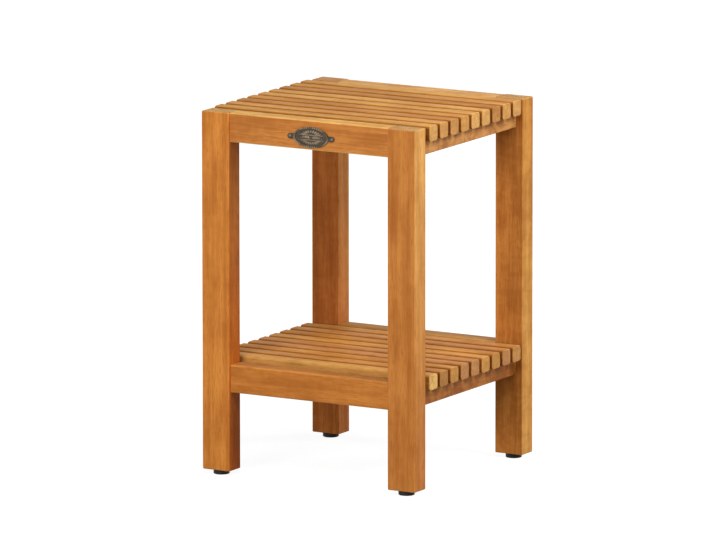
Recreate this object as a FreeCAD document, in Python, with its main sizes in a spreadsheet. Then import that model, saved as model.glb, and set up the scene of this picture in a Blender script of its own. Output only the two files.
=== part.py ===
"""Slatted hardwood side table for a bathroom: four legs, two slatted levels, glides and a plain badge.

Frame: +X to the right, +Y to the rear, +Z up, millimetres. The origin is on the floor, at the middle
of the plan. The front, with the badge, faces -Y.
"""

import FreeCAD
import Part
import os
import re

from FreeCAD import Placement, Rotation, Vector

# Driving dimensions, one cell each: name, millimetres or a count, meaning.
SIZES = [
    ("overall_width", 301.0, "across the outer faces of the legs, left to right"),
    ("overall_depth", 294.0, "across the outer faces of the legs, front to rear"),
    ("leg_length", 447.0, "leg from its foot end to its top"),
    ("leg_width", 38.7, "leg section, left to right"),
    ("leg_depth", 26.7, "leg section, front to rear"),
    ("leg_edge_round", 1.5, "eased edges of a leg"),
    ("top_rail_height", 36.5, "front and rear rails of the top"),
    ("shelf_rail_height", 35.0, "front and rear rails of the shelf"),
    ("rail_recess", 3.0, "outer face of a rail behind the outer face of the legs"),
    ("rail_edge_round", 2.5, "eased long edges of a rail"),
    ("rail_tenon_thickness", 10.0, "front to rear"),
    ("rail_tenon_shoulder", 6.0, "above and below the tenon"),
    ("top_bearer_height", 17.5, "side bearers that carry the slats of the top"),
    ("shelf_bearer_height", 20.0, "side bearers that carry the slats of the shelf"),
    ("bearer_thickness", 20.0, "side bearers, left to right"),
    ("bearer_inset", 9.5, "outer face of a bearer inside the outer face of the legs"),
    ("bearer_edge_round", 1.2, "eased long edges of a bearer"),
    ("bearer_tenon_length", 16.0, "into the leg, front to rear"),
    ("bearer_tenon_thickness", 8.0, "left to right"),
    ("bearer_tenon_shoulder", 2.5, "above, below and outside the tenon"),
    ("mortise_wall", 2.0, "from the end of a rail tenon to the side of a bearer tenon, inside the leg"),
    ("joint_clearance", 0.1, "glue gap round a tenon, on each side"),
    ("mortise_end_gap", 0.6, "room past the end of a tenon or a screw"),
    ("slat_count", 9, "slats in each level"),
    ("slat_width", 20.5, "one slat, front to rear"),
    ("slat_end_gap", 6.3, "gap from a leg to the first and last slat"),
    ("slat_overhang", 1.5, "slat ends past the outer faces of the legs"),
    ("slat_thickness", 19.5, "one slat, top to bottom"),
    ("slat_edge_round", 4.0, "eased long edges of a slat"),
    ("slat_end_round", 1.0, "eased edges round the ends of a slat"),
    ("slat_rise", 1.0, "slats of the top above the tops of the legs"),
    ("shelf_height", 146.5, "floor to the top of the shelf slats and of the rear shelf rail"),
    ("shelf_front_drop", 7.0, "front shelf rail below the top of the shelf slats"),
    ("screw_diameter", 4.0, "shank of a screw"),
    ("screw_head_diameter", 8.0, "countersunk head of a screw"),
    ("screw_head_height", 2.4, "countersunk head of a screw"),
    ("screw_sink", 0.4, "slat screw's head inside the bearer's lower face"),
    ("screw_bite", 12.0, "length of a slat screw inside the slat"),
    ("screw_drive", 2.2, "square drive recess across its flats"),
    ("screw_drive_depth", 1.6, "square drive recess"),
    ("screw_clearance", 0.2, "radial room round a screw in its hole"),
    ("foot_diameter", 20.0, "glide under a leg"),
    ("foot_height", 6.0, "glide under a leg"),
    ("foot_edge_round", 1.0, "eased lower rim of a glide"),
    ("foot_screw_bite", 22.0, "length of a glide screw inside the leg"),
    ("foot_screw_sink", 1.5, "glide screw's head above the floor"),
    ("badge_width", 49.0, "oval plate, left to right"),
    ("badge_height", 26.0, "oval plate"),
    ("badge_thickness", 1.6, "oval plate"),
    ("badge_rim", 2.0, "raised rim of the plate"),
    ("badge_field_depth", 0.5, "field of the plate below its rim"),
    ("badge_drop", 2.5, "middle of the plate below the middle of the rail"),
    ("badge_offset", 3.5, "middle of the plate to the right of the middle of the rail"),
    ("lug_reach", 5.0, "from an end of the oval to its pin"),
    ("lug_diameter", 7.0, "round ends of the plate that take the pins"),
    ("lug_thickness", 1.2, "round ends of the plate that take the pins"),
    ("pin_diameter", 2.0, "shank of a badge pin"),
    ("pin_head_diameter", 4.0, "domed head of a badge pin"),
    ("pin_head_height", 1.0, "domed head of a badge pin"),
    ("pin_bite", 12.0, "length of a badge pin inside the rail"),
    ("pin_clearance", 0.1, "radial room round a badge pin"),
]

# Places and sizes that several pieces share, worked out from the cells.
LEG_TOP = "(foot_height + leg_length)"
LEG_X = "((overall_width - leg_width) / 2)"
LEG_Y = "((overall_depth - leg_depth) / 2)"
RAIL_LENGTH = "(overall_width - 2 * leg_width)"
RAIL_THICKNESS = "(leg_depth - rail_recess)"
RAIL_Y = "((overall_depth - leg_depth - rail_recess) / 2)"
BEARER_TENON_OUTSIDE = "(bearer_inset + bearer_tenon_shoulder)"
RAIL_TENON_LENGTH = f"(leg_width - {BEARER_TENON_OUTSIDE} - bearer_tenon_thickness - mortise_wall)"
BEARER_LENGTH = "(overall_depth - 2 * leg_depth)"
BEARER_X = "(overall_width / 2 - bearer_inset - bearer_thickness / 2)"
BEARER_TENON_X = f"(overall_width / 2 - {BEARER_TENON_OUTSIDE} - bearer_tenon_thickness / 2)"
SLAT_LENGTH = "(overall_width + 2 * slat_overhang)"
SLAT_PITCH = "((overall_depth - 2 * leg_depth - 2 * slat_end_gap - slat_width) / (slat_count - 1))"
FIRST_SLAT_Y = f"(-{SLAT_PITCH} * (slat_count - 1) / 2)"
SCREW_HOLE = "(screw_diameter / 2 + screw_clearance)"
SCREW_PILOT = "(screw_diameter / 2 + joint_clearance)"
SCREW_HEAD_HOLE = "(screw_head_diameter / 2 + screw_clearance)"
BADGE_Z = f"({LEG_TOP} - top_rail_height / 2 - badge_drop)"
BADGE_Y = f"(-{RAIL_Y} - {RAIL_THICKNESS} / 2)"
PIN_REACH = "(badge_width / 2 + lug_reach)"
PIN_HOLE = "(pin_diameter / 2 + pin_clearance)"


class Level:
    """One slatted level: the heights and places of its slats, rails and bearers, as expressions."""

    def __init__(self, name, slat_top, rail_tops):
        self.name = name
        self.rail_height = f"{name}_rail_height"
        self.bearer_height = f"{name}_bearer_height"
        self.slat_bottom = f"({slat_top} - slat_thickness)"
        self.bearer_bottom = f"({self.slat_bottom} - {self.bearer_height})"
        self.rail_bottoms = {end: f"({top} - {self.rail_height})" for end, top in rail_tops.items()}
        self.rail_tenon_height = f"({self.rail_height} - 2 * rail_tenon_shoulder)"
        self.bearer_tenon_height = f"({self.bearer_height} - 2 * bearer_tenon_shoulder)"


LEVELS = [
    Level("top", f"({LEG_TOP} + slat_rise)", {"front": LEG_TOP, "rear": LEG_TOP}),
    Level("shelf", "shelf_height", {"front": "(shelf_height - shelf_front_drop)", "rear": "shelf_height"}),
]
SIDES = {"left": -1, "right": 1}
ENDS = {"front": -1, "rear": 1}
ALONG_X = Vector(1, 0, 0)
ALONG_Y = Vector(0, 1, 0)
OUT_OF_FRONT = Rotation(ALONG_X, 90)
INTO_FRONT = Rotation(ALONG_X, -90)
UPRIGHT = Rotation()

doc = FreeCAD.newDocument("side_table")
sheet = doc.addObject("Spreadsheet::Sheet", "Sizes")
sub_parts = []


def fill_sheet():
    """Writes each driving dimension into its own named cell."""
    for row, (alias, value, meaning) in enumerate(SIZES, start=1):
        sheet.set(f"A{row}", alias)
        sheet.set(f"B{row}", str(value))
        sheet.set(f"C{row}", meaning)
        sheet.setAlias(f"B{row}", alias)
    doc.recompute()


def set_size(feature, name, formula):
    """Binds one property to a formula in which each cell goes by its bare name."""
    feature.setExpression(name, re.sub(r"[a-z]+(_[a-z]+)+", r"Sizes.\g<0>", formula))


def bind(feature, **formulas):
    """Binds several properties of a feature."""
    for name, formula in formulas.items():
        set_size(feature, name, formula)


def put(feature, x="0", y="0", z="0", turn=UPRIGHT):
    """Places a feature or a body, with a formula for each coordinate."""
    feature.Placement = Placement(Vector(), turn)
    for axis, formula in zip("xyz", (x, y, z)):
        set_size(feature, f"Placement.Base.{axis}", formula)


def new_body(label, x="0", y="0", z="0"):
    """An empty body that becomes one sub-part."""
    body = doc.addObject("PartDesign::Body", label)
    body.Label = label
    put(body, x, y, z)
    sub_parts.append(body)
    return body


def box(body, name, size, corner, cut=False):
    """A block added to or cut from a body: its three sizes and its lowest corner."""
    kind = "PartDesign::SubtractiveBox" if cut else "PartDesign::AdditiveBox"
    feature = body.newObject(kind, f"{body.Name}_{name}")
    bind(feature, Length=size[0], Width=size[1], Height=size[2])
    put(feature, *corner)
    return feature


def cylinder(body, name, radius, height, base, turn=UPRIGHT, cut=False):
    """A round bar added to or cut from a body."""
    kind = "PartDesign::SubtractiveCylinder" if cut else "PartDesign::AdditiveCylinder"
    feature = body.newObject(kind, f"{body.Name}_{name}")
    bind(feature, Radius=radius, Height=height)
    put(feature, *base, turn=turn)
    return feature


def cone(body, name, lower, upper, height, base, cut=False):
    """A tapered round piece added to or cut from a body, upright."""
    kind = "PartDesign::SubtractiveCone" if cut else "PartDesign::AdditiveCone"
    feature = body.newObject(kind, f"{body.Name}_{name}")
    bind(feature, Radius1=lower, Radius2=upper, Height=height)
    put(feature, *base)
    return feature


def runs_along(edge, direction):
    """Whether an edge is straight along a direction, judged where it starts."""
    return edge.tangentAt(edge.FirstParameter).cross(direction).Length < 1e-6


def round_edges(body, feature, name, radius, chosen):
    """Rounds the edges of a feature that a test chooses."""
    doc.recompute()
    fillet = body.newObject("PartDesign::Fillet", f"{body.Name}_{name}")
    fillet.Base = (feature, [f"Edge{n}" for n, edge in enumerate(feature.Shape.Edges, start=1) if chosen(edge)])
    bind(fillet, Radius=radius)
    body.Tip = fillet
    return fillet


def repeat_along_slats(body, originals):
    """Repeats features once for every slat of a level, from the first slat to the last."""
    doc.recompute()
    axis = next(f for f in body.Origin.OriginFeatures if f.Role == "Y_Axis")
    pattern = body.newObject("PartDesign::LinearPattern", f"{body.Name}_pattern")
    pattern.Originals = originals
    pattern.Direction = (axis, [""])
    pattern.Mode = "Spacing"
    bind(pattern, Occurrences="slat_count", Offset=SLAT_PITCH)
    body.Tip = pattern


def make_leg(end, side):
    """One leg with a mortise for each rail and bearer and a pilot hole for the glide's screw."""
    out_x, out_y = SIDES[side], ENDS[end]
    body = new_body(f"{end}_{side}_leg", f"{out_x} * {LEG_X}", f"{out_y} * {LEG_Y}", "foot_height")
    post = box(body, "post", ("leg_width", "leg_depth", "leg_length"),
               ("-leg_width / 2", "-leg_depth / 2"))
    round_edges(body, post, "eased", "leg_edge_round", lambda edge: True)
    rail_depth = f"({RAIL_TENON_LENGTH} + mortise_end_gap)"
    rail_width = "(rail_tenon_thickness + 2 * joint_clearance)"
    rail_x = "-leg_width / 2" if out_x > 0 else f"leg_width / 2 - {rail_depth}"
    rail_y = f"{-out_y} * rail_recess / 2 - {rail_width} / 2"
    bearer_depth = "(bearer_tenon_length + mortise_end_gap)"
    bearer_width = "(bearer_tenon_thickness + 2 * joint_clearance)"
    bearer_x = f"{out_x} * ({BEARER_TENON_X} - {LEG_X}) - {bearer_width} / 2"
    bearer_y = "-leg_depth / 2" if out_y > 0 else f"leg_depth / 2 - {bearer_depth}"
    for level in LEVELS:
        rail_z = f"{level.rail_bottoms[end]} + rail_tenon_shoulder - joint_clearance - foot_height"
        bearer_z = f"{level.bearer_bottom} + bearer_tenon_shoulder - joint_clearance - foot_height"
        rail_size = (rail_depth, rail_width, f"{level.rail_tenon_height} + 2 * joint_clearance")
        bearer_size = (bearer_width, bearer_depth, f"{level.bearer_tenon_height} + 2 * joint_clearance")
        box(body, f"{level.name}_rail_mortise", rail_size, (rail_x, rail_y, rail_z), cut=True)
        box(body, f"{level.name}_bearer_mortise", bearer_size, (bearer_x, bearer_y, bearer_z), cut=True)
    pilot_depth = "foot_screw_bite + mortise_end_gap"
    cylinder(body, "foot_pilot", SCREW_PILOT, pilot_depth, ("0", "0", "0"), cut=True)


def make_rail(level, end):
    """A front or rear rail with a tenon at each end."""
    out_y = ENDS[end]
    body = new_body(f"{level.name}_{end}_rail", "0", f"{out_y} * {RAIL_Y}", level.rail_bottoms[end])
    bar = box(body, "bar", (RAIL_LENGTH, RAIL_THICKNESS, level.rail_height),
              (f"-{RAIL_LENGTH} / 2", f"-{RAIL_THICKNESS} / 2"))
    round_edges(body, bar, "eased", "rail_edge_round", lambda edge: runs_along(edge, ALONG_X))
    tenon_size = (RAIL_TENON_LENGTH, "rail_tenon_thickness", level.rail_tenon_height)
    tenon_starts = {"left": f"-{RAIL_LENGTH} / 2 - {RAIL_TENON_LENGTH}", "right": f"{RAIL_LENGTH} / 2"}
    for side, tenon_x in tenon_starts.items():
        corner = (tenon_x, "-rail_tenon_thickness / 2", "rail_tenon_shoulder")
        box(body, f"{side}_tenon", tenon_size, corner)
    return body


def pin_x(sign):
    """The place of a badge pin, to the left or right of the plate's middle."""
    return f"badge_offset + {sign} * {PIN_REACH}"


def drill_badge_holes(rail):
    """Two blind holes for the badge's pins in the front rail's outer face."""
    for side, sign in SIDES.items():
        base = (pin_x(sign), f"-{RAIL_THICKNESS} / 2", "top_rail_height / 2 - badge_drop")
        depth = "pin_bite + mortise_end_gap"
        cylinder(rail, f"{side}_pin_hole", PIN_HOLE, depth, base, turn=INTO_FRONT, cut=True)


def make_bearer(level, side):
    """A side bearer with a tenon at each end and a countersunk hole under every slat."""
    out_x = SIDES[side]
    body = new_body(f"{level.name}_{side}_bearer", f"{out_x} * {BEARER_X}", "0", level.bearer_bottom)
    bar = box(body, "bar", ("bearer_thickness", BEARER_LENGTH, level.bearer_height),
              ("-bearer_thickness / 2", f"-{BEARER_LENGTH} / 2"))
    round_edges(body, bar, "eased", "bearer_edge_round", lambda edge: runs_along(edge, ALONG_Y))
    tenon_size = ("bearer_tenon_thickness", "bearer_tenon_length", level.bearer_tenon_height)
    tenon_x = f"{out_x} * ({BEARER_TENON_X} - {BEARER_X}) - bearer_tenon_thickness / 2"
    tenon_starts = {"front": f"-{BEARER_LENGTH} / 2 - bearer_tenon_length", "rear": f"{BEARER_LENGTH} / 2"}
    for end, tenon_y in tenon_starts.items():
        box(body, f"{end}_tenon", tenon_size, (tenon_x, tenon_y, "bearer_tenon_shoulder"))
    hole = cylinder(body, "hole", SCREW_HOLE, level.bearer_height, ("0", FIRST_SLAT_Y, "0"), cut=True)
    sink = cylinder(body, "sink", SCREW_HEAD_HOLE, "screw_sink", ("0", FIRST_SLAT_Y, "0"), cut=True)
    seat = cone(body, "seat", SCREW_HEAD_HOLE, SCREW_HOLE, "screw_head_height",
                ("0", FIRST_SLAT_Y, "screw_sink"), cut=True)
    repeat_along_slats(body, [hole, sink, seat])


def make_slat(level, number):
    """One slat with rounded edges and a pilot hole over each bearer."""
    y = f"{FIRST_SLAT_Y} + {number - 1} * {SLAT_PITCH}"
    body = new_body(f"{level.name}_slat_{number}", "0", y, level.slat_bottom)
    bar = box(body, "bar", (SLAT_LENGTH, "slat_width", "slat_thickness"),
              (f"-{SLAT_LENGTH} / 2", "-slat_width / 2"))
    eased = round_edges(body, bar, "eased", "slat_edge_round", lambda edge: runs_along(edge, ALONG_X))
    round_edges(body, eased, "ends", "slat_end_round", lambda edge: not runs_along(edge, ALONG_X))
    for side, sign in SIDES.items():
        base = (f"{sign} * {BEARER_X}", "0", "0")
        cylinder(body, f"{side}_pilot", SCREW_PILOT, "screw_bite + mortise_end_gap", base, cut=True)


def add_screw(body, name, x, y, head_z, shank_length):
    """A countersunk screw that points up, with a square drive recess in its head."""
    head = cone(body, f"{name}_head", "screw_head_diameter / 2", "screw_diameter / 2", "screw_head_height",
                (x, y, head_z))
    shank = cylinder(body, f"{name}_shank", "screw_diameter / 2", shank_length,
                     (x, y, f"{head_z} + screw_head_height"))
    corner = (f"{x} - screw_drive / 2", f"{y} - screw_drive / 2", head_z)
    drive = box(body, f"{name}_drive", ("screw_drive", "screw_drive", "screw_drive_depth"), corner, cut=True)
    return [head, shank, drive]


def make_slat_screws(level):
    """The screws that hold a level's slats down, driven up through the bearers."""
    body = new_body(f"{level.name}_slat_screws", "0", "0", level.bearer_bottom)
    body.AllowCompound = True
    shank = f"{level.bearer_height} - screw_sink - screw_head_height + screw_bite"
    features = []
    for side, sign in SIDES.items():
        features += add_screw(body, side, f"{sign} * {BEARER_X}", FIRST_SLAT_Y, "screw_sink", shank)
    repeat_along_slats(body, features)


def make_foot(end, side):
    """A round glide under a leg, with a deep countersunk hole for its screw."""
    body = new_body(f"{end}_{side}_foot", f"{SIDES[side]} * {LEG_X}", f"{ENDS[end]} * {LEG_Y}")
    disc = cylinder(body, "disc", "foot_diameter / 2", "foot_height", ("0", "0", "0"))
    round_edges(body, disc, "rim", "foot_edge_round",
                lambda edge: edge.Closed and edge.CenterOfMass.z < disc.Shape.CenterOfMass.z)
    cylinder(body, "hole", SCREW_HOLE, "foot_height", ("0", "0", "0"), cut=True)
    cylinder(body, "sink", SCREW_HEAD_HOLE, "foot_screw_sink", ("0", "0", "0"), cut=True)
    cone(body, "seat", SCREW_HEAD_HOLE, SCREW_HOLE, "screw_head_height",
         ("0", "0", "foot_screw_sink"), cut=True)


def make_foot_screws():
    """The four screws that hold the glides."""
    body = new_body("foot_screws")
    body.AllowCompound = True
    shank = "foot_height - foot_screw_sink - screw_head_height + foot_screw_bite"
    for end, out_y in ENDS.items():
        for side, out_x in SIDES.items():
            add_screw(body, f"{end}_{side}", f"{out_x} * {LEG_X}", f"{out_y} * {LEG_Y}",
                      "foot_screw_sink", shank)


def oval(name, inset, start, thickness):
    """An oval plate that stands out of the front rail, with its outline drawn in by an inset."""
    outline = doc.addObject("Part::Ellipse", f"{name}_outline")
    bind(outline, MajorRadius=f"badge_width / 2 - {inset}", MinorRadius=f"badge_height / 2 - {inset}")
    put(outline, "badge_offset", f"{BADGE_Y} - {start}", BADGE_Z, turn=OUT_OF_FRONT)
    plate = doc.addObject("Part::Extrusion", name)
    plate.Base = outline
    plate.DirMode = "Custom"
    plate.Dir = -ALONG_Y
    plate.Solid = True
    bind(plate, LengthFwd=thickness)
    return plate


def lug_disc(name, sign, radius):
    """A round piece of the badge's ear, or the hole in it."""
    disc = doc.addObject("Part::Cylinder", name)
    bind(disc, Radius=radius, Height="lug_thickness")
    put(disc, pin_x(sign), BADGE_Y, BADGE_Z, turn=OUT_OF_FRONT)
    return disc


def make_badge():
    """A plain oval plate with a raised rim and two pinned ears, flat on the front rail."""
    bar = doc.addObject("Part::Box", "badge_bar")
    bind(bar, Length=f"2 * {PIN_REACH}", Width="lug_thickness", Height="lug_diameter")
    put(bar, pin_x(-1), f"{BADGE_Y} - lug_thickness", f"{BADGE_Z} - lug_diameter / 2")
    ears = [lug_disc(f"badge_{side}_ear", sign, "lug_diameter / 2") for side, sign in SIDES.items()]
    blank = doc.addObject("Part::MultiFuse", "badge_blank")
    blank.Shapes = [oval("badge_plate", "0", "0", "badge_thickness"), bar] + ears
    holes = [lug_disc(f"badge_{side}_hole", sign, PIN_HOLE) for side, sign in SIDES.items()]
    field_floor = "(badge_thickness - badge_field_depth)"
    cutters = doc.addObject("Part::Compound", "badge_cutters")
    cutters.Links = holes + [oval("badge_field", "badge_rim", field_floor, "badge_field_depth")]
    badge = doc.addObject("Part::Cut", "badge")
    badge.Base = blank
    badge.Tool = cutters
    sub_parts.append(badge)


def make_badge_pins():
    """The two domed pins that hold the badge."""
    body = new_body("badge_pins", "0", f"{BADGE_Y} - lug_thickness", BADGE_Z)
    body.AllowCompound = True
    for side, sign in SIDES.items():
        x = pin_x(sign)
        cylinder(body, f"{side}_shank", "pin_diameter / 2", "lug_thickness + pin_bite", (x, "0", "0"),
                 turn=INTO_FRONT)
        dome = body.newObject("PartDesign::AdditiveEllipsoid", f"{body.Name}_{side}_dome")
        dome.Angle1 = 0
        dome.Angle2 = 90
        head_radius = "pin_head_diameter / 2"
        bind(dome, Radius1="pin_head_height", Radius2=head_radius, Radius3=head_radius)
        put(dome, x, "0", "0", turn=OUT_OF_FRONT)


def make_table():
    """Every piece of the table, in the order in which it goes together."""
    for end in ENDS:
        for side in SIDES:
            make_leg(end, side)
    for level in LEVELS:
        for end in ENDS:
            rail = make_rail(level, end)
            if level.name == "top" and end == "front":
                drill_badge_holes(rail)
        for side in SIDES:
            make_bearer(level, side)
        for number in range(1, int(sheet.slat_count) + 1):
            make_slat(level, number)
        make_slat_screws(level)
    for end in ENDS:
        for side in SIDES:
            make_foot(end, side)
    make_foot_screws()
    make_badge()
    make_badge_pins()
    doc.recompute()


def check_and_write():
    """Stops on any failed object or bad shape, then writes one STEP file for each sub-part."""
    failed = [o.Name for o in doc.Objects if "Invalid" in o.State or "Error" in o.State]
    if failed:
        raise RuntimeError(f"failed objects: {failed}")
    for part in sub_parts:
        if part.Shape.isNull() or not part.Shape.isValid() or not part.Shape.Solids:
            raise RuntimeError(f"bad shape: {part.Label}")
    os.makedirs("parts", exist_ok=True)
    for part in sub_parts:
        part.Shape.exportStep(f"parts/{part.Label}.step")
        print(f"{part.Label}: {len(part.Shape.Solids)} solids, {part.Shape.Volume:.1f} mm3")


fill_sheet()
make_table()
check_and_write()
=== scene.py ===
"""Looks of a slatted teak side table: oiled wood, black glides, steel screws and an aged oval badge."""

import bmesh
import bpy
import math
from mathutils import Matrix, Vector


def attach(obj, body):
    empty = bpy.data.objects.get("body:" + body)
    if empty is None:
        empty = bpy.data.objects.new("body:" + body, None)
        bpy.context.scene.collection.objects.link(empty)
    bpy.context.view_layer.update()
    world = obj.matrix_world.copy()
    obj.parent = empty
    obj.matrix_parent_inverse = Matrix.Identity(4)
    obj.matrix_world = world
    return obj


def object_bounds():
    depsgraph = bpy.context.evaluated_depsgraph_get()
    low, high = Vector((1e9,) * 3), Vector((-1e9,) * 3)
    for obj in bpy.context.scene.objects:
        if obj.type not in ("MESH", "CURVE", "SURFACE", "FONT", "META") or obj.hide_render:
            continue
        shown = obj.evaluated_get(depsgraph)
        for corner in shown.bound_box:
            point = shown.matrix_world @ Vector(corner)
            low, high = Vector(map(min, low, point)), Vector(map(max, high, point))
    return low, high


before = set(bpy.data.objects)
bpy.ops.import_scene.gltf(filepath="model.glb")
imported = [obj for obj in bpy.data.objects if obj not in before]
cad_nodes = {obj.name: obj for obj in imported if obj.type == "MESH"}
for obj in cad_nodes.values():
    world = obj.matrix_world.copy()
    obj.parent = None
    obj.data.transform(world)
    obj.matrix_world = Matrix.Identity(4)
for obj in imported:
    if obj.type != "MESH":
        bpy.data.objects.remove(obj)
cad_low, cad_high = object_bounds()
SIDES = ("left", "right")
ENDS = ("front", "rear")

# Camera, in degrees, metres and pixels of the 716 by 540 picture.
PICTURE_WIDTH = 716
FOCAL_LENGTH_PIXELS = 11000
SENSOR_WIDTH = 36.0
CAMERA_AZIMUTH = 30.052
CAMERA_ELEVATION = 10.462
CAMERA_ROLL = -0.046
CAMERA_DISTANCE = 13.5478
CAMERA_RIGHT = -0.0124
CAMERA_RAISE = 0.0176

# Lamps: name, azimuth and elevation in degrees, distance and width in metres, power in watts.
LAMPS = [
    ("right_lamp", 88, 42, 1.7, 0.7, 23),
    ("front_lamp", -4, 11, 2.6, 0.9, 44),
    ("rear_right_lamp", 135, 15, 2.6, 0.9, 34),
    ("left_lamp", 268, 8, 2.6, 0.9, 32),
    ("high_lamp", 30, 45, 2.6, 0.9, 26),
]
# Light of the surroundings on the table.
WORLD_STRENGTH = 0.05
# The floor's width in metres, and its brightness: as it lights the table, in its shadows, and as it glows
# near the table. The glow rises to plain white between two distances in metres.
FLOOR_WIDTH = 14.0
FLOOR_BOUNCE = 0.3
FLOOR_SHADOW = 0.18
FLOOR_GLOW = 0.905
FLOOR_GLOW_START = 0.35
FLOOR_GLOW_END = 0.9

# Teak shades: the mean colour of a board.
SHADES = {
    "amber": (0.450, 0.156, 0.027),
    "apricot": (0.452, 0.162, 0.033),
    "chestnut": (0.432, 0.153, 0.029),
    "copper": (0.495, 0.174, 0.029),
    "russet": (0.465, 0.142, 0.026),
    "tan": (0.440, 0.190, 0.042),
    "honey": (0.495, 0.222, 0.054),
    "gold": (0.510, 0.228, 0.048),
    "straw": (0.512, 0.249, 0.058),
    "sand": (0.548, 0.258, 0.061),
    "wheat": (0.580, 0.288, 0.073),
    "rosy": (0.470, 0.205, 0.057),
    "brown": (0.395, 0.168, 0.042),
    "umber": (0.310, 0.108, 0.021),
}
# Dark grain, pale grain and dark marks on the end grain, as shares of a board's mean colour.
DARK_GRAIN = (0.74, 0.64, 0.52)
PALE_GRAIN = (1.22, 1.32, 1.48)
END_DARK = (0.62, 0.58, 0.56)

# Sizes of the grain, in millimetres: length along the grain and width across it.
MILLIMETRES = 1000.0
WAVER_SIZE = (160, 30)
STREAK_SIZE = (150, 6)
CLOUD_SIZE = (70, 24)
RIPPLE_SIZE = (13, 26)
FIBRE_SIZE = (28, 1.1)
FLECK_SIZE = (15, 1.3)
PORE_SIZE = (12, 0.45)
END_MARK_SIZE = (60, 5)
RIPPLE_SWIRL = 1.2
END_MARK_SWIRL = 1.0
# Growth rings, in millimetres, and what sets one board apart from the next.
RING_WIDTH = 7.0
RING_WAVER = 14.0
PITH_DISTANCE = 60.0
BOARD_SHIFT = 191.0
GOLDEN_ANGLE = 2.4
# How much each pattern counts on the way from dark grain to pale grain.
RING_WEIGHT = 0.26
STREAK_WEIGHT = 0.20
CLOUD_WEIGHT = 0.28
FIBRE_WEIGHT = 0.26
# Rounded edges are paler: partly wear, partly a painted highlight.
EDGE_WEAR_AND_HIGHLIGHT_WEIGHT = 0.15
# How far flecks, pores, the end grain's tint (on the legs mostly a painted sheen) and its dark marks cover
# the colour under them.
FLECK_COVER = 0.6
PORE_COVER = 0.45
END_COVER = 0.35
END_MARK_COVER = 0.6
# Gloss and relief of the wood, with its relief in metres.
WOOD_SPECULAR = 0.07
WOOD_ROUGHNESS = (0.46, 0.58)
PORE_ROUGHNESS = 0.2
FIBRE_HEIGHT = 0.6
PORE_HEIGHT = -1.0
GRAIN_RELIEF = 0.0003

# Kinds of boards: the axis of the grain, the axis of the pair of faces with painted light or shade, and the
# tint of the end grain, which on the legs' tops and feet is mostly a painted sheen.
BOARD_KINDS = {
    "leg": (2, 0, (1.12, 2.95, 6.60)),
    "rail": (0, 2, (0.71, 0.86, 1.14)),
    "bearer": (1, 2, (0.71, 0.86, 1.14)),
    "slat": (0, 1, (0.56, 0.71, 1.09)),
    "pale_slat": (0, 1, (1.60, 2.30, 3.70)),
}
# Painted light and shade on faces, as shares of a board's colour: faint to milky is painted light on lit
# faces, olive a dimmer, yellower painted light, warm and red painted shade, dim painted shade on the
# bearers' faces under the slats, and shaded or dark painted shade on the slats' sides in the gaps.
PAINTED_SHADING_TINTS = {
    "plain": (1.00, 1.00, 1.00),
    "faint": (1.04, 1.12, 1.25),
    "pale": (1.14, 1.55, 1.96),
    "creamy": (1.33, 1.90, 2.75),
    "milky": (1.46, 2.20, 2.85),
    "olive": (0.89, 1.06, 0.98),
    "warm": (0.96, 0.87, 0.80),
    "red": (0.88, 0.60, 0.34),
    "dim": (0.80, 0.75, 0.70),
    "shaded": (0.82, 0.77, 0.74),
    "dark": (0.56, 0.38, 0.22),
}

# Boards: the shade of each slat from front to rear, and the one slat whose front shows above its rail. For
# each leg its shade, the strength of its ripple, and the painted light or shade of its side faces at the
# foot and at the top. For each rail its shade and the painted light on its upper face.
TOP_SHADES = ["straw", "sand", "honey", "gold", "wheat", "wheat", "tan", "sand", "wheat"]
SHELF_SHADES = ["straw", "tan", "gold", "rosy", "rosy", "gold", "gold", "rosy", "honey"]
BARE_FRONTED_SLAT = "shelf_slat_1"
# The front left leg's side faces get painted shade, deepest at the foot; the other legs' get painted light.
LEGS = {
    "front_left": ("copper", 0.05, ("red", "warm")),
    "front_right": ("chestnut", 0.05, ("plain", "pale")),
    "rear_left": ("russet", 0.10, ("plain", "pale")),
    "rear_right": ("amber", 0.16, ("pale", "olive")),
}
RAILS = {
    "top_rear": ("apricot", "creamy"),
    "top_front": ("apricot", "milky"),
    "shelf_front": ("amber", "faint"),
    "shelf_rear": ("tan", "faint"),
}
BEARER_SHADES = {"top": "brown", "shelf": "umber"}
BOARD_RIPPLE = 0.08
BEARER_RIPPLE = 0.5

# Hardware: pairs of dark and pale colours, the bare metal under the patina, and how far each piece is
# rubbed bare.
RUBBER_COLOURS = ((0.005, 0.004, 0.003), (0.016, 0.012, 0.009))
STEEL_COLOURS = ((0.42, 0.41, 0.39), (0.68, 0.67, 0.65))
PATINA_COLOURS = ((0.014, 0.010, 0.006), (0.042, 0.030, 0.018))
BARE_METAL = (0.39, 0.29, 0.18)
PLATE_WEAR = 0.05
PIN_WEAR = 0.25
RELIEF_WEAR = 0.7

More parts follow.
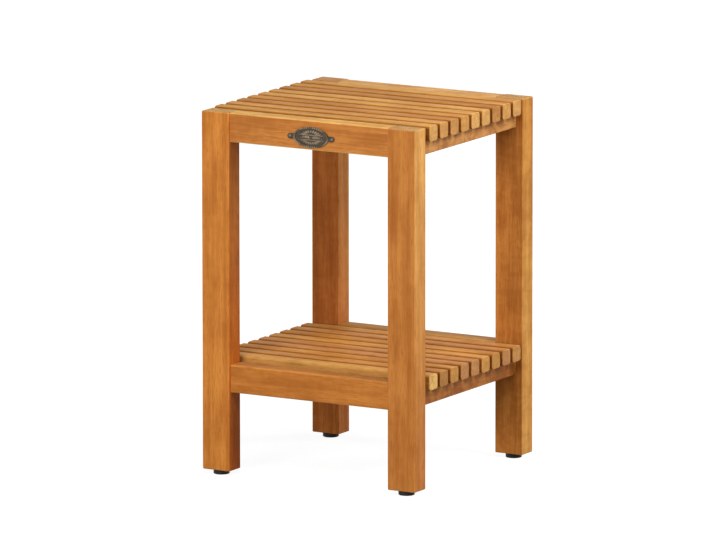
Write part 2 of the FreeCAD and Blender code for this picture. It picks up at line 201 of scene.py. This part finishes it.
# Relief of the badge, in metres: a rope of slanted beads on the rim, a banner, two sprigs and two fans of
# leaves. A ridge's point is 1 for a leaf's sharp ends and smaller for blunter ones.
OUTWARDS = Vector((0, -1, 0))
BADGE_FIELD_DEPTH = 0.0005
RELIEF_DEPTH = 0.0001
RIDGE_SIDES = 12
RIDGE_STEPS = 8
ROPE_BEADS = 52
ROPE_RADII = (0.0235, 0.0120)
ROPE_SLANT = math.radians(40)
BEAD_LENGTH = 0.0026
BEAD_HALF_WIDTH = 0.0008
BEAD_RISE = 0.0006
BEAD_POINT = 0.5
SPRIG_STEPS = 6
SPRIG_LENGTH = 0.0135
SPRIG_SAG = 0.0008
STEM_HALF_WIDTH = 0.0004
STEM_RISE = 0.0005
LEAF_LENGTH = 0.0030
LEAF_TAPER = 0.4
LEAF_HALF_WIDTH = 0.0007
LEAF_LEAN = math.radians(42)
LEAF_RISE = 0.0007
LEAF_POINT = 1.0
TIP_LEAF_LENGTH = 0.0018
BANNER_HALF_HEIGHT = 0.0030
BANNER_HALF_LENGTH = 0.0190
BANNER_LINE_HALF_WIDTH = 0.0006
BANNER_LINE_RISE = 0.0009
BANNER_LINE_POINT = 0.2
FAN_LEAVES = 9
FAN_SPREAD = math.radians(120)
FAN_START = (0.0080, 0.0054)
FAN_END = (0.0165, 0.0094)
FAN_HALF_WIDTH = 0.0010


class Tree:
    """The node tree of a material or a world, with short calls for the nodes that the patterns need."""

    def __init__(self, owner):
        owner.use_nodes = True
        self.owner = owner
        self.nodes = owner.node_tree.nodes
        self.links = owner.node_tree.links

    def feed(self, socket, value):
        """Links an output to a socket, or sets the socket to a plain value."""
        if isinstance(value, bpy.types.NodeSocket):
            self.links.new(value, socket)
        else:
            socket.default_value = value

    def node(self, kind, inputs, output=0, **settings):
        """A node with its settings and inputs, by number or name. Returns one of its outputs."""
        made = self.nodes.new(kind)
        for name, value in settings.items():
            setattr(made, name, value)
        for key, value in inputs.items():
            self.feed(made.inputs[key], value)
        return made.outputs[output]

    def math(self, operation, first, second=0.0):
        return self.node("ShaderNodeMath", {0: first, 1: second}, operation=operation)

    def scaled(self, vector, factors):
        return self.node("ShaderNodeVectorMath", {0: vector, 1: factors}, operation="MULTIPLY")

    def length(self, vector):
        return self.node("ShaderNodeVectorMath", {0: vector}, output="Value", operation="LENGTH")

    def noise(self, vector, detail, distortion=0.0):
        inputs = {"Vector": vector, "Scale": 1.0, "Detail": detail, "Distortion": distortion}
        return self.node("ShaderNodeTexNoise", inputs)

    def ramp(self, value, low, high, to_low=0.0, to_high=1.0):
        """Moves a value smoothly from one range to another and holds it at the ends."""
        inputs = {0: value, 1: low, 2: high, 3: to_low, 4: to_high}
        return self.node("ShaderNodeMapRange", inputs, interpolation_type="SMOOTHSTEP")

    def spread(self, noise, to_low=0.0, to_high=1.0):
        """Stretches noise, most of which lies between 0.3 and 0.7, over a full range."""
        return self.ramp(noise, 0.3, 0.7, to_low, to_high)

    def mix(self, share, first, second, blend_type="MIX"):
        """A blend of two colours."""
        inputs = {0: share, 6: first, 7: second}
        return self.node("ShaderNodeMix", inputs, output=2, data_type="RGBA", blend_type=blend_type)

    def cover(self, colour, mask, share, layer):
        """A colour with a layer over it where a mask is 1, as thick as a share."""
        return self.mix(self.math("MULTIPLY", mask, share), colour, layer)

    def weigh(self, parts):
        """Adds up values, each times its weight."""
        total = 0.0
        for value, weight in parts:
            inputs = {0: value, 1: weight, 2: total}
            total = self.node("ShaderNodeMath", inputs, operation="MULTIPLY_ADD")
        return total

    def split(self, vector):
        """The three coordinates of a vector."""
        made = self.nodes.new("ShaderNodeSeparateXYZ")
        self.links.new(vector, made.inputs[0])
        return list(made.outputs)

    def join(self, x, y, z):
        return self.node("ShaderNodeCombineXYZ", {0: x, 1: y, 2: z})

    def coordinates(self, kind):
        return self.node("ShaderNodeTexCoord", {}, output=kind)

    def place(self):
        """The place on the object, in millimetres."""
        return self.scaled(self.coordinates("Object"), (MILLIMETRES,) * 3)

    def seen_directly(self):
        """1 for rays that show the background: from the camera, in gloss and through glass."""
        path = self.nodes.new("ShaderNodeLightPath").outputs
        seen = path["Is Camera Ray"]
        for kind in ("Is Glossy Ray", "Is Transmission Ray"):
            seen = self.math("MAXIMUM", seen, path[kind])
        return seen

    def finish(self, fixed, colour, roughness, height, relief, strength):
        """Gives the shader its fixed values, colour, roughness and relief. Returns the material."""
        shader = self.nodes["Principled BSDF"].inputs
        for name, value in fixed.items():
            shader[name].default_value = value
        self.feed(shader["Base Color"], colour)
        self.feed(shader["Roughness"], roughness)
        inputs = {"Height": height, "Distance": relief, "Strength": strength}
        self.feed(shader["Normal"], self.node("ShaderNodeBump", inputs))
        return self.owner


def material_tree(name):
    return Tree(bpy.data.materials.new(name))


def opaque(colour):
    return (*colour, 1.0)


def tinted(colour, shares):
    """A colour with each channel times its share, ready for a socket."""
    return opaque(tuple(channel * share for channel, share in zip(colour, shares)))


def along_grain(axes, axis):
    """Reorders three coordinates so that the grain's own axis comes first."""
    return axes[axis:] + axes[:axis]


def growth_rings(tree, across, through, waver, seed):
    """Bands round a pith outside the board, which waver along the grain."""
    turn = GOLDEN_ANGLE * seed
    from_pith = tree.join(tree.math("ADD", across, PITH_DISTANCE * math.cos(turn)),
                          tree.math("ADD", through, PITH_DISTANCE * math.sin(turn)), 0.0)
    ring = tree.weigh([(tree.length(from_pith), 1 / RING_WIDTH), (waver, RING_WAVER / RING_WIDTH)])
    return tree.spread(tree.noise(tree.join(ring, BOARD_SHIFT * seed, 0.0), 3.0))


def teak(node, kind, shade, ripple_strength, painted_shading_tints, seed):
    """Solid teak with rings, streaks, fibres and pores along one axis. One pair of faces has painted light
    or shade, which goes from the first of two tints at the low end of the grain to the second at the high
    end."""
    axis, painted_face_axis, end_grain_and_sheen_tint = BOARD_KINDS[kind]
    tree = material_tree(f"teak_{node}")
    lengthwise, across, through = along_grain(tree.split(tree.place()), axis)
    shift = BOARD_SHIFT * seed
    place = tree.join(tree.math("ADD", lengthwise, shift), tree.math("ADD", across, shift), through)

    def grain(size, detail, distortion=0.0):
        length, width = size
        return tree.noise(tree.scaled(place, (1 / length, 1 / width, 1 / width)), detail, distortion)

    # Patterns of the grain.
    rings = growth_rings(tree, across, through, grain(WAVER_SIZE, 2.0), seed)
    streak = tree.spread(grain(STREAK_SIZE, 2.0))
    cloud = tree.spread(grain(CLOUD_SIZE, 2.0))
    ripple = tree.spread(grain(RIPPLE_SIZE, 1.0, RIPPLE_SWIRL), -0.5, 0.5)
    fibre = grain(FIBRE_SIZE, 3.0)
    fleck = tree.ramp(grain(FLECK_SIZE, 1.0), 0.53, 0.70)
    pores = tree.ramp(grain(PORE_SIZE, 1.0), 0.6, 0.72)
    end_mark = tree.ramp(grain(END_MARK_SIZE, 3.0, END_MARK_SWIRL), 0.45, 0.65)

    # Masks of the end grain, the rounded edges, paler with wear and a painted highlight, and the faces with
    # painted light or shade.
    normal = [tree.math("ABSOLUTE", part) for part in tree.split(tree.coordinates("Normal"))]
    end = tree.ramp(along_grain(normal, axis)[0], 0.6, 0.95)
    flatness = tree.math("MAXIMUM", tree.math("MAXIMUM", normal[0], normal[1]), normal[2])
    edge_wear_and_highlight = tree.ramp(flatness, 0.985, 0.85)
    painted_face_mask = tree.ramp(normal[painted_face_axis], 0.3, 0.8)
    reach = [vertex.co[axis] * MILLIMETRES for vertex in cad_nodes[node].data.vertices]
    low_end_painted_shading, high_end_painted_shading = (opaque(PAINTED_SHADING_TINTS[painted_shading_tint]) for painted_shading_tint in painted_shading_tints)
    painted_face_shading = tree.mix(tree.ramp(lengthwise, min(reach), max(reach)), low_end_painted_shading, high_end_painted_shading)

    # Colour, gloss and relief.
    layers = (DARK_GRAIN, PALE_GRAIN, end_grain_and_sheen_tint, END_DARK)
    dark, pale, end_grain_and_sheen_colour, end_dark = (tinted(SHADES[shade], shares) for shares in layers)
    paleness = tree.weigh([(rings, RING_WEIGHT), (streak, STREAK_WEIGHT), (cloud, CLOUD_WEIGHT),
                           (fibre, FIBRE_WEIGHT), (ripple, ripple_strength), (edge_wear_and_highlight, EDGE_WEAR_AND_HIGHLIGHT_WEIGHT)])
    colour = tree.mix(tree.ramp(paleness, 0.1, 0.9), dark, pale)
    colour = tree.cover(colour, fleck, FLECK_COVER, dark)
    colour = tree.cover(colour, pores, PORE_COVER, dark)
    # Painted light or shade on one pair of faces, from one tint at the low end to another at the high end.
    colour = tree.mix(painted_face_mask, colour, painted_face_shading, blend_type="MULTIPLY")
    # End grain tint; on the legs' tops and feet it is mostly a painted sheen.
    colour = tree.cover(colour, end, END_COVER, end_grain_and_sheen_colour)
    colour = tree.cover(colour, tree.math("MULTIPLY", end, end_mark), END_MARK_COVER, end_dark)
    roughness = tree.weigh([(tree.spread(fibre, *WOOD_ROUGHNESS), 1.0), (pores, PORE_ROUGHNESS)])
    height = tree.weigh([(fibre, FIBRE_HEIGHT), (pores, PORE_HEIGHT)])
    fixed = {"Specular IOR Level": WOOD_SPECULAR}
    return tree.finish(fixed, colour, roughness, height, GRAIN_RELIEF, 0.3)


def rubber():
    """Matt black rubber with faint mottling."""
    tree = material_tree("black_rubber")
    mottle = tree.noise(tree.scaled(tree.place(), (0.5, 0.5, 0.5)), 4.0)
    colour = tree.mix(mottle, *map(opaque, RUBBER_COLOURS))
    roughness = tree.spread(mottle, 0.55, 0.75)
    return tree.finish({"Specular IOR Level": 0.2}, colour, roughness, mottle, 0.0002, 0.3)


def steel():
    """Stainless screws with turned marks."""
    tree = material_tree("stainless_steel")
    marks = tree.noise(tree.scaled(tree.place(), (1.5, 1.5, 9.0)), 3.0)
    colour = tree.mix(marks, *map(opaque, STEEL_COLOURS))
    roughness = tree.spread(marks, 0.25, 0.42)
    return tree.finish({"Metallic": 1.0}, colour, roughness, marks, 0.0001, 0.2)


def aged_metal(name, wear):
    """Dark bronze with a brown patina, rubbed to a paler metal by a share."""
    tree = material_tree(name)
    place = tree.place()
    patina = tree.noise(tree.scaled(place, (0.35, 0.35, 0.35)), 5.0)
    rub = tree.ramp(tree.noise(tree.scaled(place, (0.12, 0.12, 0.12)), 3.0), 0.2, 0.7)
    colour = tree.mix(tree.ramp(patina, 0.35, 0.65), *map(opaque, PATINA_COLOURS))
    colour = tree.cover(colour, rub, wear, opaque(BARE_METAL))
    roughness = tree.spread(patina, 0.38, 0.6)
    return tree.finish({"Metallic": 0.6}, colour, roughness, patina, 0.0003, 0.4)


def dress(node, material):
    """Gives a CAD node one material."""
    mesh = cad_nodes[node].data
    mesh.materials.clear()
    mesh.materials.append(material)


def dress_wood():
    """Gives each wooden piece its own board of teak."""
    boards = [(f"{corner}_leg", "leg", *looks) for corner, looks in LEGS.items()]
    for place, (shade, painted_shading_tint) in RAILS.items():
        # The rails' upper and lower faces get painted light.
        boards.append((f"{place}_rail", "rail", shade, BOARD_RIPPLE, (painted_shading_tint, painted_shading_tint)))
    for level, shades in (("top", TOP_SHADES), ("shelf", SHELF_SHADES)):
        for side in SIDES:
            node = f"{level}_{side}_bearer"
            # The bearers' upper and lower faces get painted shade.
            boards.append((node, "bearer", BEARER_SHADES[level], BEARER_RIPPLE, ("dim", "dim")))
        for number, shade in enumerate(shades, start=1):
            node = f"{level}_slat_{number}"
            # Slat sides get painted shade in the gaps, milder on the slat whose front shows above its rail.
            kind, painted_shading_tint = ("pale_slat", "shaded") if node == BARE_FRONTED_SLAT else ("slat", "dark")
            boards.append((node, kind, shade, BOARD_RIPPLE, (painted_shading_tint, painted_shading_tint)))
    for seed, (node, *looks) in enumerate(boards, start=1):
        dress(node, teak(node, *looks, seed))


def dress_hardware():
    """Gives the glides, screws and badge their materials."""
    rubber_material = rubber()
    steel_material = steel()
    dress("badge", aged_metal("aged_bronze", PLATE_WEAR))
    dress("badge_pins", aged_metal("rubbed_bronze", PIN_WEAR))
    for end in ENDS:
        for side in SIDES:
            dress(f"{end}_{side}_foot", rubber_material)
    for node in ("top_slat_screws", "shelf_slat_screws", "foot_screws"):
        dress(node, steel_material)


def ridge(mesh, path, half_widths, rise):
    """A rounded ridge along a path on the badge, closed underneath and drawn to a point at both ends."""
    widest = max(half_widths)
    loops = []
    for number, (place, half_width) in enumerate(zip(path, half_widths)):
        ahead = path[min(number + 1, len(path) - 1)] - path[max(number - 1, 0)]
        across = OUTWARDS.cross(ahead).normalized()
        if half_width == 0:
            loops.append([mesh.verts.new(place)])
            continue
        loop = []
        for step in range(RIDGE_SIDES):
            angle = 2 * math.pi * step / RIDGE_SIDES
            height = rise * half_width / widest if math.sin(angle) > 0 else RELIEF_DEPTH
            loop.append(mesh.verts.new(place + across * (half_width * math.cos(angle))
                                       + OUTWARDS * (height * math.sin(angle))))
        loops.append(loop)
    for first, second in zip(loops, loops[1:]):
        for step in range(RIDGE_SIDES):
            following = (step + 1) % RIDGE_SIDES
            corners = [first[step % len(first)], first[following % len(first)],
                       second[following % len(second)], second[step % len(second)]]
            mesh.faces.new(list(dict.fromkeys(corners)))


def spindle(mesh, start, end, half_width, rise, point):
    """A straight ridge that narrows to its ends, by how pointed it is."""
    steps = [number / RIDGE_STEPS for number in range(RIDGE_STEPS + 1)]
    path = [start.lerp(end, step) for step in steps]
    inner = [half_width * math.sin(math.pi * step) ** point for step in steps[1:-1]]
    ridge(mesh, path, [0] + inner + [0], rise)


def rope_rim(mesh, centre):
    """Slanted beads round the badge's rim."""
    for number in range(ROPE_BEADS):
        angle = 2 * math.pi * number / ROPE_BEADS
        place = centre + Vector((ROPE_RADII[0] * math.cos(angle), 0, ROPE_RADII[1] * math.sin(angle)))
        slant = Vector((math.cos(angle + ROPE_SLANT), 0, math.sin(angle + ROPE_SLANT))) * BEAD_LENGTH / 2
        spindle(mesh, place - slant, place + slant, BEAD_HALF_WIDTH, BEAD_RISE, BEAD_POINT)


def sprig(mesh, centre, side):
    """A curved stem with pairs of leaves, from the middle of the badge towards one end."""
    steps = [number / SPRIG_STEPS for number in range(SPRIG_STEPS + 1)]
    stem = [centre + Vector((side * SPRIG_LENGTH * step, 0, SPRIG_SAG * (math.sin(math.pi * step) - 0.5)))
            for step in steps]
    ridge(mesh, stem, [0] + [STEM_HALF_WIDTH] * (SPRIG_STEPS - 1) + [0], STEM_RISE)
    for place, step in zip(stem[1:-1], steps[1:-1]):
        length = LEAF_LENGTH * (1 - LEAF_TAPER * step)
        for lean in (-LEAF_LEAN, LEAF_LEAN):
            tip = place + Vector((side * math.cos(lean), 0, math.sin(lean))) * length
            spindle(mesh, place, tip, LEAF_HALF_WIDTH, LEAF_RISE, LEAF_POINT)
    tip = stem[-1] + Vector((side * TIP_LEAF_LENGTH, 0, 0))
    spindle(mesh, stem[-1], tip, LEAF_HALF_WIDTH, LEAF_RISE, LEAF_POINT)


def banner(mesh, centre):
    """Two level lines across the badge, with a fan of leaves above and below them."""
    reach = Vector((BANNER_HALF_LENGTH, 0, 0))
    for side in (-1, 1):
        middle = centre + Vector((0, 0, side * BANNER_HALF_HEIGHT))
        spindle(mesh, middle - reach, middle + reach,
                BANNER_LINE_HALF_WIDTH, BANNER_LINE_RISE, BANNER_LINE_POINT)
        for number in range(FAN_LEAVES):
            turn = FAN_SPREAD * (number / (FAN_LEAVES - 1) - 0.5)
            start, end = (Vector((radii[0] * math.sin(turn), 0, side * radii[1] * math.cos(turn)))
                          for radii in (FAN_START, FAN_END))
            spindle(mesh, centre + start, centre + end, FAN_HALF_WIDTH, LEAF_RISE, LEAF_POINT)


def add_badge_relief():
    """A rope rim, a banner and plain leaves, raised on the badge's plate."""
    corners = [vertex.co for vertex in cad_nodes["badge"].data.vertices]
    front = min(corner.y for corner in corners)
    middle = [(min(corner[axis] for corner in corners) + max(corner[axis] for corner in corners)) / 2
              for axis in (0, 2)]
    rim_centre = Vector((middle[0], front, middle[1]))
    field_centre = rim_centre - OUTWARDS * BADGE_FIELD_DEPTH
    shape = bmesh.new()
    rope_rim(shape, rim_centre)
    banner(shape, field_centre)
    for side in (-1, 1):
        sprig(shape, field_centre, side)
    bmesh.ops.recalc_face_normals(shape, faces=shape.faces)
    mesh = bpy.data.meshes.new("badge_relief")
    shape.to_mesh(mesh)
    shape.free()
    mesh.shade_smooth()
    mesh.materials.append(aged_metal("worn_bronze", RELIEF_WEAR))
    relief = bpy.data.objects.new("badge_relief", mesh)
    bpy.context.scene.collection.objects.link(relief)
    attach(relief, "root")


def direction(azimuth, elevation):
    """The unit vector towards an azimuth, from the front to the right, and an elevation."""
    a, e = math.radians(azimuth), math.radians(elevation)
    return Vector((math.sin(a) * math.cos(e), -math.cos(a) * math.cos(e), math.sin(e)))


def add_camera():
    """The camera, far off with a long lens, turned to look at the middle of the table."""
    back = direction(CAMERA_AZIMUTH, CAMERA_ELEVATION)
    right = Vector((0, 0, 1)).cross(back).normalized()
    up = back.cross(right)
    centre = (cad_low + cad_high) / 2
    data = bpy.data.cameras.new("camera")
    data.sensor_fit = "HORIZONTAL"
    data.sensor_width = SENSOR_WIDTH
    data.lens = FOCAL_LENGTH_PIXELS / PICTURE_WIDTH * SENSOR_WIDTH
    camera = bpy.data.objects.new("camera", data)
    turn = Matrix((right, up, back)).transposed() @ Matrix.Rotation(math.radians(CAMERA_ROLL), 3, "Z")
    place = centre + back * CAMERA_DISTANCE + right * CAMERA_RIGHT + up * CAMERA_RAISE
    camera.matrix_world = Matrix.Translation(place) @ turn.to_4x4()
    bpy.context.scene.collection.objects.link(camera)
    bpy.context.scene.camera = camera


def add_lamps():
    """Soft square lamps, each aimed at the middle of the table."""
    centre = (cad_low + cad_high) / 2
    for name, azimuth, elevation, distance, width, power in LAMPS:
        data = bpy.data.lights.new(name, "AREA")
        data.size = width
        data.energy = power
        lamp = bpy.data.objects.new(name, data)
        towards = direction(azimuth, elevation)
        lamp.location = centre + towards * distance
        lamp.rotation_mode = "QUATERNION"
        lamp.rotation_quaternion = (-towards).to_track_quat("-Z", "Y")
        bpy.context.scene.collection.objects.link(lamp)


def add_world():
    """Even white surroundings: plain white where they are seen, softer where they light the table."""
    world = bpy.data.worlds.new("studio")
    bpy.context.scene.world = world
    tree = Tree(world)
    background = tree.nodes["Background"].inputs
    background["Color"].default_value = (1, 1, 1, 1)
    inputs = {"Value": tree.seen_directly(), "To Min": WORLD_STRENGTH, "To Max": 1.0}
    tree.feed(background["Strength"], tree.node("ShaderNodeMapRange", inputs))


def white_floor():
    """A white that keeps a faint shadow where it is seen, and lights the table softly."""
    tree = material_tree("white_floor")
    tree.nodes.remove(tree.nodes["Principled BSDF"])
    bounce, shadow = (tree.node("ShaderNodeBsdfDiffuse", {"Color": opaque((brightness,) * 3)})
                      for brightness in (FLOOR_BOUNCE, FLOOR_SHADOW))
    distance = tree.length(tree.coordinates("Object"))
    strength = tree.ramp(distance, FLOOR_GLOW_START, FLOOR_GLOW_END, FLOOR_GLOW, 1.0)
    glow = tree.node("ShaderNodeEmission", {"Strength": strength})
    shown = tree.node("ShaderNodeAddShader", {0: shadow, 1: glow})
    surface = tree.node("ShaderNodeMixShader", {0: tree.seen_directly(), 1: bounce, 2: shown})
    tree.feed(tree.nodes["Material Output"].inputs["Surface"], surface)
    return tree.owner


def add_floor():
    """A wide square floor under the table."""
    half = FLOOR_WIDTH / 2
    corners = [(-half, -half, 0), (half, -half, 0), (half, half, 0), (-half, half, 0)]
    mesh = bpy.data.meshes.new("floor")
    mesh.from_pydata(corners, [], [(0, 1, 2, 3)])
    mesh.materials.append(white_floor())
    floor = bpy.data.objects.new("floor", mesh)
    bpy.context.scene.collection.objects.link(floor)


dress_wood()
dress_hardware()
add_badge_relief()
add_camera()
add_lamps()
add_world()
add_floor()
bpy.context.scene.view_settings.view_transform = "Standard"
